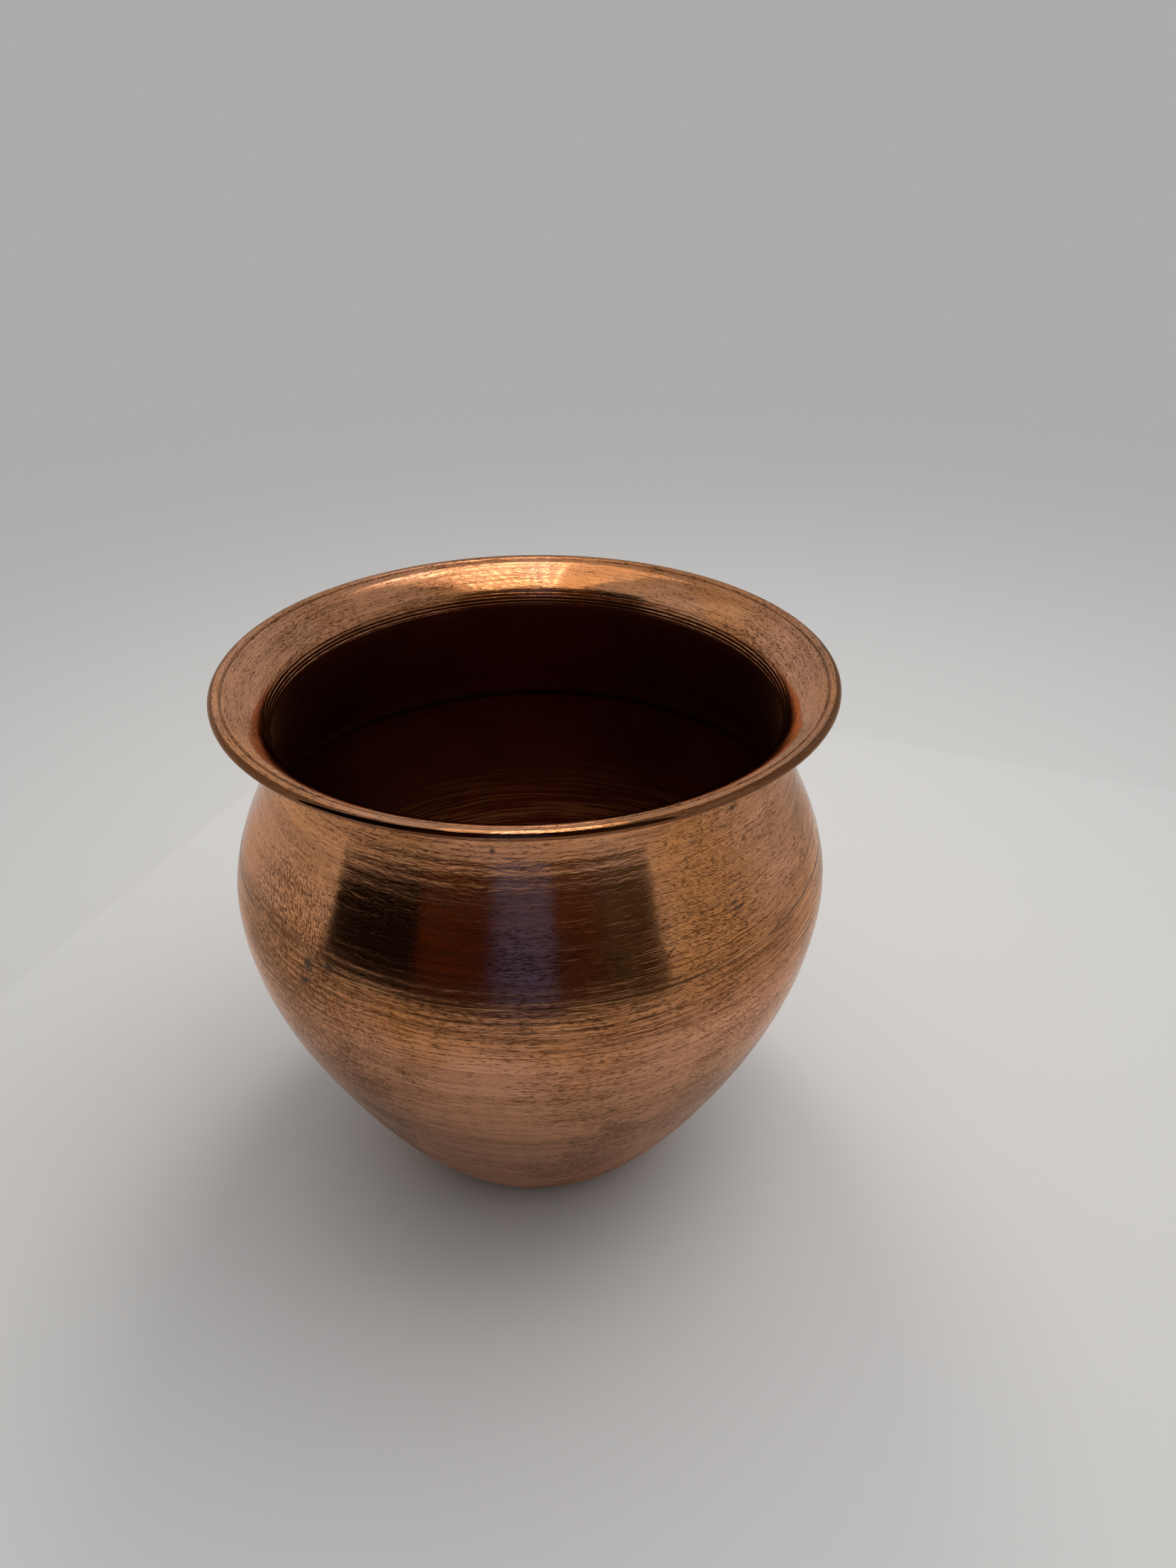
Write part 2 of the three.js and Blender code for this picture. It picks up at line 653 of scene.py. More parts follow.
@dataclass(frozen=True)
class ScouredCopper:
    """Copper sheet, scoured round and round outside, and dark inside with oxide and painted shade. Sizes are
    in mm.
    """

    bright: Colour = (0.83, 0.41, 0.238, 1.0)
    golden: Colour = (0.80, 0.315, 0.080, 1.0)
    dull: Colour = (0.47, 0.215, 0.110, 1.0)
    brown: Colour = (0.100, 0.033, 0.012, 1.0)
    soot: Colour = (0.055, 0.045, 0.04, 1.0)
    # inside and inside_dark: the dark oxide inside the pot, made darker as painted shade of its hollow
    inside: Colour = (0.140, 0.030, 0.014, 1.0)
    inside_dark: Colour = (0.085, 0.017, 0.008, 1.0)
    # a painted highlight on the turned rings of the floor inside
    inside_ring_highlight: Colour = (0.50, 0.21, 0.07, 1.0)
    # a painted olive reflection on the sides inside
    inside_olive_reflection: Colour = (0.34, 0.17, 0.05, 1.0)
    edge_tint: Colour = (1.0, 0.85, 0.74, 1.0)
    roughness: float = 0.09
    drag: float = 0.5  # how much longer the scouring blurs a reflection across it than along it

    # The marks, from the long lines of turning to the short dashes of rubbing.
    wander: Mark = Mark(7.0, 4.0, 3.0)
    wander_reach: float = 1.6  # how far the hair lines and dashes stray from true rings
    straighter: float = 0.4  # the long lines stray this part as far
    hair: Mark = Mark(
        3.4, 0.12, 0.0, roughness=0.6, cut=(0.55, 0.63), eased=(0.06, 0.05), strength=0.45, relief=0.005
    )
    line: Mark = Mark(
        16.0, 0.36, 5.0, 3.0, 0.6, cut=(0.52, 0.58), eased=(0.04, 0.0), strength=0.45, relief=0.010
    )
    dash: Mark = Mark(
        0.8, 0.17, 9.0, roughness=0.55, cut=(0.59, 0.66), eased=(0.09, 0.08), strength=0.65, relief=0.005
    )
    streak: Mark = Mark(2.2, 0.45, 51.0, detail=1.0, relief=0.022)
    nick: Mark = Mark(5.0, 0.10, 61.0, roughness=0.6, cut=(0.68, 0.74), eased=(0.11, 0.08))
    fleck: Mark = Mark(0.62, 0.95, 71.0, roughness=0.6, slope=1.1, cut=(0.50, 0.56), strength=0.7)
    weave: Mark = Mark(0.55, 0.15, 17.0, 1.5, slope=0.5, cut=(0.49, 0.57), strength=0.95, relief=0.012)
    hatch: Mark = Mark(0.36, 0.24, 23.0, 1.5, slope=1.6, cut=(0.50, 0.58), strength=0.8, relief=0.012)
    band: Mark = Mark(70.0, 2.6, 41.0, detail=3.0, roughness=0.6, cut=(0.46, 0.60))
    cloud_size: float = 15.0
    warmth_size: float = 22.0
    sunk_range: tuple[float, float] = (0.015, 0.08)  # depths at which a groove begins to darken, and is dark
    sunk_strength: float = 0.55
    # lip_shade_strength: the painted shade on the lip's outer edge, standing for its reflection of the dark
    # room
    lip_shade_strength: float = 0.85
    # throat_shade_strength: the painted shade down the throat
    throat_shade_strength: float = 0.55

    # How much rougher or smoother each makes the sheet.
    tarnish_rough: float = 0.13
    dull_rough: float = 0.05
    burnish_smooth: float = 0.045
    inside_rough: float = 0.20
    bare_rough: float = 0.30
    foot_rough: float = 0.20

    # The heights of bands round the pot, and how far each reaches up and down.
    seam: tuple[float, float] = (56.0, 8.0)
    neck: tuple[float, float] = (78.0, 4.5)
    mid_bowl: tuple[float, float] = (35.0, 24.0)

    # The heights over which one finish becomes another.
    # lip: the heights over which the painted shade of the lip begins
    lip: tuple[float, float] = (81.5, 82.0)
    burnished: tuple[float, float] = (80.0, 81.0)  # the smoother mouth
    foot_fades: tuple[float, float] = (2.0, 40.0)  # from the rough foot to the bowl
    low_fades: tuple[float, float] = (28.0, 56.0)  # from the rubbed bowl to the belly
    rings_fade: tuple[float, float] = (30.0, 46.0)  # the end of the painted highlights on the rings inside
    lip_edge: tuple[float, float] = (41.2, 41.45)  # radii over which the painted shade of the lip's outer edge begins
    front_shade_pushback: float = 0.35  # how much farther out it begins at the front, where the lip's highlight lies

    # The patches of wear, and where painted shade and a painted reflection lie.
    gold_patch: Patch = Patch(33.0, 67.0, 15.0, 0.9)
    weave_patch: Patch = Patch(-51.0, 61.0, 14.0, 0.9)
    worn_left: Patch = Patch(-42.0, 45.0, 20.0, 0.9)
    worn_right: Patch = Patch(38.0, 45.0, 17.0, 0.9)
    nick_patch: Patch = Patch(17.0, 65.0, 15.0, 1.2)
    # the front of the lip, where its painted shade is held back for the highlight
    lip_highlight_front: Patch = Patch(-5.0, 83.0, 34.0)
    # the sides inside, where an olive reflection is painted
    olive_reflection_left: Patch = Patch(-72.0, 66.0, 30.0)
    olive_reflection_right: Patch = Patch(82.0, 66.0, 24.0)
    stains: tuple[Patch, ...] = (
        Patch(-42.1, 58.1, 1.3),
        Patch(-37.4, 59.0, 1.2, 1.1),
        Patch(-42.5, 55.8, 0.9, 1.4),
        Patch(38.4, 64.8, 1.6, 5.0),
        Patch(39.2, 64.0, 1.7, 5.5),
        Patch(42.9, 75.8, 1.8, 4.0),
        Patch(-7.4, 76.9, 0.6),
    )

    def make(self) -> bpy.types.Material:
        """Builds the material.

        Returns:
            The material.
        """
        shader = Shader(bpy.data.materials.new("scoured_copper"))
        face = TurnedFace(shader)
        wear = self._wear(shader, face)
        wander = face.marks(self.wander) * self.wander_reach
        hair = face.marks(self.hair, wander)
        line = face.marks(self.line, wander * self.straighter)
        dash = face.marks(self.dash, wander)
        streak = face.marks(self.streak, wander)
        nick = face.marks(self.nick, wander * self.straighter)
        fleck = face.marks(self.fleck)
        weave = face.marks(self.weave)
        hatch = face.marks(self.hatch)

        hair_dark = self._dark(self.hair, hair, wear.lined)
        line_dark = self._dark(self.line, line, wear.lined) * (0.2 + wear.lined * 0.8)
        dash_dark = self._dark(self.dash, dash, wear.patches)
        fleck_dark = self._dark(self.fleck, (fleck + dash) * 0.5) * wear.flecked
        weave_dark = self._dark(self.weave, weave) * wear.woven
        hatch_dark = self._dark(self.hatch, hatch) * wear.hatched
        tarnish_and_shade = hair_dark + line_dark + dash_dark + fleck_dark + weave_dark + hatch_dark
        tarnish_and_shade = tarnish_and_shade + face.sunk.rise(*self.sunk_range) * self.sunk_strength
        # painted shade on the lip's outer edge, standing for its reflection of the dark room
        tarnish_and_shade = tarnish_and_shade + self._lip_painted_shade(face) * self.lip_shade_strength
        # painted shade down the throat and into the pot
        tarnish_and_shade = (tarnish_and_shade + face.inner.rise(0.0, THROAT_SHADE) * self.throat_shade_strength).clamp()
        bare = self._shows(self.nick, nick, wear.nicked) * (0.25 + wear.nicked * 0.75)

        body = shader.mix(wear.golden, self.bright, self.golden)
        body = shader.mix(wear.dull, body, self.dull)
        # brown carries the tarnish of the marks and the painted shade of the lip and throat
        body = shader.mix(tarnish_and_shade * (0.9 - bare * 0.7), body, self.brown)
        body = shader.mix(self._soot(face, dash), body, self.soot)
        indoors = face.inner.rise(0.7, 1.0)
        colour = shader.mix(indoors, body, self._inner_tone(shader, face, wear, line))

        burnish = face.height.rise(*self.burnished)
        foot = 1.0 - face.height.rise(*self.foot_fades)
        rough = tarnish_and_shade * self.tarnish_rough + wear.dull * self.dull_rough
        rough = self.roughness + rough * (1.0 - burnish * 0.8) - burnish * self.burnish_smooth
        rough = rough + indoors * self.inside_rough + bare * self.bare_rough + foot * self.foot_rough

        relief = hair * self.hair.relief + line * self.line.relief + streak * self.streak.relief
        relief = relief + weave * wear.woven * self.weave.relief + hatch * wear.hatched * self.hatch.relief
        relief = relief * (1.0 - burnish * 0.75)
        relief = relief + dash * (wear.patches * self.dash.relief) - tarnish_and_shade * 0.003
        bump = shader.node("Bump", None, {"Strength": 1.0, "Distance": MM, "Height": relief})
        principled = shader.node(
            "BsdfPrincipled",
            None,
            {
                "Base Color": colour,
                "Metallic": 1.0,
                "Specular Tint": self.edge_tint,
                "Roughness": rough,
                "Anisotropic": self.drag,
                "Anisotropic Rotation": ACROSS_THE_TURNING,
                "Normal": bump.outputs[0],
            },
        )
        shader.node("OutputMaterial", None, {"Surface": principled.outputs[0]})
        return shader.owner

    def _wear(self, shader: Shader, face: TurnedFace) -> Wear:
        """Lays out the patches of wear.

        Args:
            shader: where the nodes go.
            face: the sheet's coordinates.

        Returns:
            The wear.
        """
        cloud = shader.noise(face.cloud(self.cloud_size), 4.0, 0.55, 0.4)
        warmth = shader.noise(face.cloud(self.warmth_size, 3.0), 3.0, 0.5).rise(0.46, 0.66)
        band = self._shows(self.band, face.marks(self.band))
        patches = cloud.rise(0.38, 0.68)
        seam = face.height.near(*self.seam)
        neck = face.height.near(*self.neck)
        mid_bowl = face.height.near(*self.mid_bowl)
        low = 1.0 - face.height.rise(*self.low_fades)
        gold_patch = face.within(self.gold_patch)
        woven = face.within(self.weave_patch) * 1.3 + face.within(self.worn_left) * 0.9
        hatched = gold_patch * 0.75 + face.within(self.worn_right) * 0.8
        golden = warmth * 0.5 + gold_patch * 0.9 + seam * 0.5 + neck * 0.3
        dull = seam * 0.25 + mid_bowl * 0.35 + low * 0.05 + band * 0.4 + patches * 0.25
        return Wear(
            patches=patches,
            lined=(0.2 + seam * 1.1 + neck * 0.5 + patches * 0.35 + low * 0.15).clamp(),
            woven=(woven + patches * low * 0.3).clamp(),
            hatched=(hatched + patches * low * 0.2).clamp(),
            flecked=(patches * low).clamp(),
            golden=golden.clamp(),
            dull=dull.clamp(),
            nicked=(face.within(self.nick_patch) + seam * 0.6).clamp(),
        )

    def _shows(self, mark: Mark, grain: Field, wear: Field | float = 0.0) -> Field:
        """Where a mark shows: where its noise is over its cut, which wear lowers.

        Args:
            mark: the kind of mark.
            grain: its noise.
            wear: how worn the copper is.

        Returns:
            The mark, from 0 to 1.
        """
        low, high = (cut - wear * eased for cut, eased in zip(mark.cut, mark.eased))
        return grain.rise(low, high)

    def _dark(self, mark: Mark, grain: Field, wear: Field | float = 0.0) -> Field:
        """The tarnish that a mark holds."""
        return self._shows(mark, grain, wear) * mark.strength

    def _inner_tone(
        self, shader: Shader, face: TurnedFace, wear: Wear, line: Field
    ) -> bpy.types.NodeSocket:
        """The colour inside the pot: dark oxide deepened by painted shade, with painted highlights on the
        floor's rings and a painted olive reflection on the sides.

        Args:
            shader: where the nodes go.
            face: the sheet's coordinates.
            wear: its wear.
            line: the noise of the turning lines.

        Returns:
            The colour.
        """
        tone = shader.mix(wear.patches, self.inside, self.inside_dark)
        # painted highlights on the turned rings of the floor
        rings = line.rise(0.45, 0.60) * (1.0 - face.height.rise(*self.rings_fade))
        tone = shader.mix(rings * 0.7, tone, self.inside_ring_highlight)
        # a painted olive reflection on the sides
        sides = (face.within(self.olive_reflection_left) + face.within(self.olive_reflection_right)).clamp()
        return shader.mix(sides * 0.7, tone, self.inside_olive_reflection)

    def _lip_painted_shade(self, face: TurnedFace) -> Field:
        """Painted shade on the outer edge of the lip, standing for its reflection of the dark room, held
        back at the front where the highlight lies.
        """
        # rubbed here marks the front, where the painted shade is held back for the lip's highlight, and
        # stained is the painted shade
        rubbed = face.within(self.lip_highlight_front)
        stained = (face.radius - rubbed * self.front_shade_pushback).rise(*self.lip_edge)
        return stained * face.height.rise(*self.lip)

    def _soot(self, face: TurnedFace, fleck: Field) -> Field:
        """A few small black stains, most of them along the seam.

        Args:
            face: the sheet's coordinates.
            fleck: noise that breaks the stains up.

        Returns:
            How black the copper is.
        """
        total = face.within(self.stains[0])
        for stain in self.stains[1:]:
            total = total + face.within(stain)
        return (total * 1.4 * (0.35 + fleck)).clamp() * 0.85


@dataclass(frozen=True)
class BrazeMetal:
    """Yellow braze metal, dull, stained and slightly lumpy, and inside as dark as the copper inside the pot,
    with its dark oxide and painted shade.
    """

    yellow: Colour = (0.60, 0.31, 0.13, 1.0)
    dull: Colour = (0.14, 0.06, 0.025, 1.0)
    # inside: dark oxide and painted shade, as on the copper inside the pot
    inside: Colour = (0.050, 0.014, 0.006, 1.0)
    roughness: float = 0.30
    inside_rough: float = 0.25
    stain: Mark = Mark(7.0, 0.5, 2.0, detail=3.0, roughness=0.6, cut=(0.38, 0.52))
    lump_size: float = 1.6  # mm
    lump_height: float = 0.08  # mm

    def make(self) -> bpy.types.Material:
        """Builds the material.

        Returns:
            The material.
        """
        shader = Shader(bpy.data.materials.new("braze_metal"))
        face = TurnedFace(shader)
        lumps = shader.noise(face.cloud(self.lump_size), 3.0, 0.6)
        stain = face.marks(self.stain)
        outer = shader.mix(stain.rise(*self.stain.cut), self.yellow, self.dull)
        colour = shader.mix(face.inner, outer, self.inside)
        rough = self.roughness + lumps * 0.15 + face.inner * self.inside_rough
        relief = lumps * self.lump_height
        bump = shader.node("Bump", None, {"Strength": 1.0, "Distance": MM, "Height": relief})
        inputs = {"Base Color": colour, "Metallic": 1.0, "Roughness": rough, "Normal": bump.outputs[0]}
        principled = shader.node("BsdfPrincipled", None, inputs)
        shader.node("OutputMaterial", None, {"Surface": principled.outputs[0]})
        return shader.owner


@dataclass(frozen=True)
class MattPaper:
    """The pale matt sheet that the pot stands on."""

    pale: Colour = (0.66, 0.66, 0.665, 1.0)
    distance_tone: Colour = (0.41, 0.41, 0.40, 1.0)
    fade_from: float = 0.12  # metres from the pot where the sheet begins to fade into the backdrop
    fade_to: float = 0.55
    grain_size: float = 0.7  # mm
    grain_height: float = 0.03  # mm
    roughness: float = 0.62

    def make(self) -> bpy.types.Material:
        """Builds the material.

        Returns:
            The material.
        """
        shader = Shader(bpy.data.materials.new("matt_paper"))
        place = shader.node("TexCoord").outputs["Object"]
        inputs = {0: place, "Scale": 1.0 / (self.grain_size * MM)}
        scaled = shader.node("VectorMath", {"operation": "SCALE"}, inputs)
        grain = shader.noise(scaled.outputs[0], 3.0, 0.6)
        relief = grain * self.grain_height
        bump = shader.node("Bump", None, {"Strength": 0.4, "Distance": MM, "Height": relief})
        inputs = {"Base Color": self.pale, "Roughness": self.roughness, "Normal": bump.outputs[0]}
        sheet = shader.node("BsdfPrincipled", None, inputs)
        air = shader.node("Emission", None, {"Color": self.distance_tone, "Strength": 1.0})
        length = shader.node("VectorMath", {"operation": "LENGTH"}, {0: place}).outputs["Value"]
        far = Field(shader, length).rise(self.fade_from, self.fade_to)
        both = shader.node("MixShader", None, {0: far, 1: sheet.outputs[0], 2: air.outputs[0]})
        shader.node("OutputMaterial", None, {"Surface": both.outputs[0]})
        return shader.owner


# ----------------------------------------------------------------------------------------- sub-assemblies


@dataclass
class LowerBowl:
    """The lower shell: flat foot, bowl and belly, up to the brazed edge."""

    shape: PotShape
    copper: bpy.types.Material
    edge_gap: float = 0.15  # from the seam's line to the edge of the sheet, in mm
    plain_edge: float = 0.8  # nearer than this to the seam there are no tool marks, in mm
    plain_foot: float = 1.0  # lower than this, and nearer the axis, there are none either, in mm
    foot_fade: float = 3.0  # height over which the marks begin above the foot, in mm
    fine: Ripple = Ripple(0.010, 2.7)
    broad: Ripple = Ripple(0.012, 6.1, 1.0)
    seam_lines: Ripple = Ripple(0.016, 1.15)
    seam_sink: float = 0.006
    seam_lines_at: float = 55.0  # height of the lines below the seam, in mm
    seam_lines_reach: float = 4.0
    rings: Ripple = Ripple(0.045, 3.1)  # inside
    rings_spread: float = 0.7  # how much the rings count across the floor, against up the wall
    rings_end: float = 50.0  # height where the rings have faded out, in mm
    rings_fade: float = 14.0

    def build(self) -> bpy.types.Object:
        """Spins the shell, and dresses it in copper.

        Returns:
            The piece.
        """
        s = self.shape
        edge = s.seam.along(-self.edge_gap)
        outline = Outline(Station(0.0, 0.0, 0.0))
        outline.sweep_to(s.foot, FLAT_STEP).sweep_to(s.heel).sweep_to(s.bowl)
        outline.sweep_to(s.belly, 0.4).sweep_to(edge, 0.2)
        outline.enter(Zone.INSIDE).line_to(edge.inward(SHEET).reversed())
        for station in (s.belly, s.bowl, s.heel, s.foot):
            outline.sweep_to(station.inward(SHEET).reversed())
        outline.sweep_to(Station(0.0, SHEET, 180.0), FLAT_STEP)
        outline.tooled(self.tool_mark)
        piece = turn_on_the_lathe("bowl_shell", outline, closed=False)
        piece.data.materials.append(self.copper)
        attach(piece, BODY)
        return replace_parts(piece, "lower_bowl")

    def tool_mark(self, point: TurnedPoint) -> float:
        """The spinning tool's marks: shallow rings, deeper on the floor inside.

        Args:
            point: a point of the outline.

        Returns:
            The lift of the surface there, in mm.
        """
        if point.z > self.shape.seam.z - self.plain_edge or point.r < self.plain_foot:
            return 0.0
        if point.zone is Zone.INSIDE:
            fade = held((self.rings_end - point.z) / self.rings_fade)
            return fade * self.rings.at(point.z + self.rings_spread * point.r)
        near_seam = bump_at(point.z, self.seam_lines_at, self.seam_lines_reach)
        above_foot = held((point.z - self.plain_foot) / self.foot_fade)
        slow = above_foot * (self.fine.at(point.z) + self.broad.at(point.z))
        return slow + near_seam * (self.seam_lines.at(point.z) - self.seam_sink)


@dataclass
class UpperShell:
    """The upper shell: shoulder, neck and flared mouth, with the lip hemmed under."""

    shape: PotShape
    copper: bpy.types.Material
    edge_gap: float = 0.15  # from the seam's line to the edge of the sheet, in mm
    hem: float = 0.5  # thickness of the turned-under edge, in mm
    plain_edge: float = 0.6  # nearer than this to the seam there are no tool marks, in mm
    ridges: int = 4  # turned ridges in the throat
    ridge_pitch: float = 0.52
    ridge_height: float = 0.13
    ridge_fade: float = 0.75  # how much lower the last ridge is than the first
    groove_radius: float = 40.35  # the groove that sets off the bead round the lip
    groove_depth: float = 0.16
    groove_reach: float = 0.17
    neck_lines: Ripple = Ripple(0.007, 0.62)
    seam_lines: Ripple = Ripple(0.012, 1.1)
    fine: Ripple = Ripple(0.006, 1.9)
    lines_reach: float = 3.0
    neck_lines_below: float = 1.5  # from the neck down to the middle of its lines, in mm
    seam_lines_above: float = 2.0  # from the seam up to the middle of its lines, in mm

    def build(self) -> bpy.types.Object:
        """Spins the shell, and dresses it in copper.

        Returns:
            The piece.
        """
        s = self.shape
        edge = s.seam.along(self.edge_gap)
        outline = Outline(edge, way=90.0)
        outline.sweep_to(s.shoulder, 0.3).sweep_to(s.collar, 0.3)
        outline.sweep_to(s.neck, 0.12).sweep_to(s.hem_end, 0.12)
        outline.line_to(s.hem_end.inward(-self.hem))
        outline.sweep_to(s.lip_root.inward(-self.hem), 0.3)
        outline.sweep_to(s.lip_edge, 0.12).sweep_to(s.lip_crest, 0.1)
        outline.enter(Zone.MOUTH)
        outline.sweep_to(s.lip_root.inward(SHEET).reversed(), 0.07)
        outline.sweep_to(s.hem_end.inward(SHEET).reversed(), 0.1)
        outline.sweep_to(s.neck.inward(SHEET).reversed(), 0.08)
        outline.enter(Zone.INSIDE)
        outline.sweep_to(s.collar.inward(SHEET).reversed(), 0.15)
        outline.sweep_to(s.shoulder.inward(SHEET).reversed())
        outline.sweep_to(edge.inward(SHEET).reversed())
        outline.tooled(self.tool_mark)
        piece = turn_on_the_lathe("shoulder_and_mouth", outline, closed=True)
        piece.data.materials.append(self.copper)
        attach(piece, BODY)
        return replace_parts(piece, "upper_shell")

    def tool_mark(self, point: TurnedPoint) -> float:
        """The tool's marks: ridges in the throat, a groove in the lip, and lines outside.

        Args:
            point: a point of the outline.

        Returns:
            The lift of the surface there, in mm.
        """
        neck, seam = self.shape.neck, self.shape.seam
        if point.z < seam.z + self.plain_edge or point.zone is Zone.INSIDE:
            return 0.0
        if point.zone is Zone.MOUTH:
            groove = self.groove_depth * bump_at(point.r, self.groove_radius, self.groove_reach)
            run = (point.z - neck.z) / self.ridge_pitch
            if not 0.0 < run < self.ridges:
                return -groove
            fade = 1.0 - self.ridge_fade * run / self.ridges
            return self.ridge_height * fade * (math.sin(math.pi * run) ** 2 - 0.5) - groove
        near_neck = bump_at(point.z, neck.z - self.neck_lines_below, self.lines_reach)
        near_seam = bump_at(point.z, seam.z + self.seam_lines_above, self.lines_reach)
        lines = near_neck * self.neck_lines.at(point.z) + near_seam * self.seam_lines.at(point.z)
        return lines + self.fine.at(point.z)


@dataclass
class SeamBraze:
    """The ring of braze metal between the shells, with its low bead inside."""

    shape: PotShape
    metal: bpy.types.Material
    half_gap: float = 0.15
    crown: float = 0.03  # how far it stands proud of the copper outside, in mm
    bead_half_width: float = 0.7
    bead_height: float = 0.4

    def build(self) -> bpy.types.Object:
        """Spins the ring, and dresses it in braze metal.

        Returns:
            The piece.
        """
        seam = self.shape.seam
        low = seam.along(-self.half_gap)
        high = seam.along(self.half_gap)
        outline = Outline(low).line_to(seam.inward(-self.crown)).line_to(high)
        outline.enter(Zone.INSIDE).line_to(high.inward(SHEET))
        outline.line_to(seam.along(self.bead_half_width).inward(SHEET))
        outline.sweep_to(seam.inward(SHEET + self.bead_height).reversed(), 0.12)
        outline.sweep_to(seam.along(-self.bead_half_width).inward(SHEET), 0.12)
        outline.line_to(low.inward(SHEET))
        piece = turn_on_the_lathe("braze_ring", outline, closed=True)
        piece.data.materials.append(self.metal)
        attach(piece, BODY)
        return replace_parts(piece, "seam_braze")


# ------------------------------------------------------------------------------------------------ studio


class Side(Enum):
    """The sides of the white tent that the pot stands in, as its metal sees them."""

    LEFT = "left"
    BACK = "back"
    RIGHT = "right"
    CEILING = "ceiling"


CARD_GLOW: dict[Side, Colour] = {
    Side.LEFT: (0.52, 0.52, 0.515, 1.0),
    Side.BACK: (0.44, 0.44, 0.44, 1.0),
    Side.RIGHT: (0.50, 0.49, 0.47, 1.0),
    Side.CEILING: (0.44, 0.42, 0.38, 1.0),
}


@dataclass(frozen=True)
class RoomView:
    """Something in the dark room in front of the table, seen only in the metal."""

    start: float  # azimuth where it begins, in degrees from -Y towards +X
    soft: float  # how gradually it begins, in degrees
    glow: Colour


@dataclass(frozen=True)
class LampPanel:
    """The lamp in the tent's ceiling: rows of small bright squares in a softer halo. Sizes are in metres."""

    columns: int = 10
    rows: int = 7
    frame: float = 0.030  # width of the dark frame of a square, as a part of the whole panel
    width: float = 0.050  # in the middle of its depth
    depth: float = 0.200
    narrowing: float = 0.30  # width lost for each metre towards the back
    place: tuple[float, float] = (0.008, 0.010)
    glow: Colour = (1.0, 0.97, 0.94, 1.0)
    strength: float = 3.8
    drop: float = 0.003  # below the ceiling
    halo: tuple[tuple[float, float], ...] = ((-0.062, -0.09), (0.060, -0.09), (0.030, 0.11), (-0.026, 0.11))
    halo_glow: Colour = (1.05, 0.92, 0.72, 1.0)
    halo_drop: float = 0.002

    def squares(self) -> bmesh.types.BMesh:
        """Makes the bright squares.

        Returns:
            Their mesh, with the panel round the origin.
        """
        bm = bmesh.new()
        bmesh.ops.create_grid(bm, x_segments=self.columns, y_segments=self.rows, size=0.5)
        frames = bmesh.ops.inset_individual(bm, faces=bm.faces, thickness=self.frame)["faces"]
        bmesh.ops.delete(bm, geom=frames, context="FACES")
        bmesh.ops.scale(bm, vec=(1.0, self.depth, 1.0), verts=bm.verts)
        for vert in bm.verts:
            vert.co.x *= self.width - self.narrowing * vert.co.y
        return bm


@dataclass(frozen=True)
class SoftSky:
    """The even light from above that falls on the floor, and the darkness that the metal sees instead."""

    low: Colour = (0.006, 0.006, 0.006, 1.0)
    high: Colour = (1.20, 1.19, 1.17, 1.0)
    rise: tuple[float, float] = (0.32, 1.05)  # heights over which the low light becomes the high
    lean_right: float = 0.18  # how much higher the right counts
    lean_back: float = 0.03
    dark: Colour = (0.004, 0.003, 0.0025, 1.0)


@dataclass(frozen=True)
class SoftLamp:
    """A flat square lamp that shines straight down and shows in no reflection."""

    name: str
    place: tuple[float, float, float]
    size: float
    power: float  # watts
    colour: tuple[float, float, float]

    def build(self) -> None:
        """Makes the lamp."""
        data = bpy.data.lights.new(self.name, "AREA")
        data.shape = "SQUARE"
        data.size = self.size
        data.energy = self.power
        data.color = self.colour
        made = bpy.data.objects.new(self.name, data)
        made.location = self.place
        made.visible_camera = False
        made.visible_glossy = False
        bpy.context.scene.collection.objects.link(made)


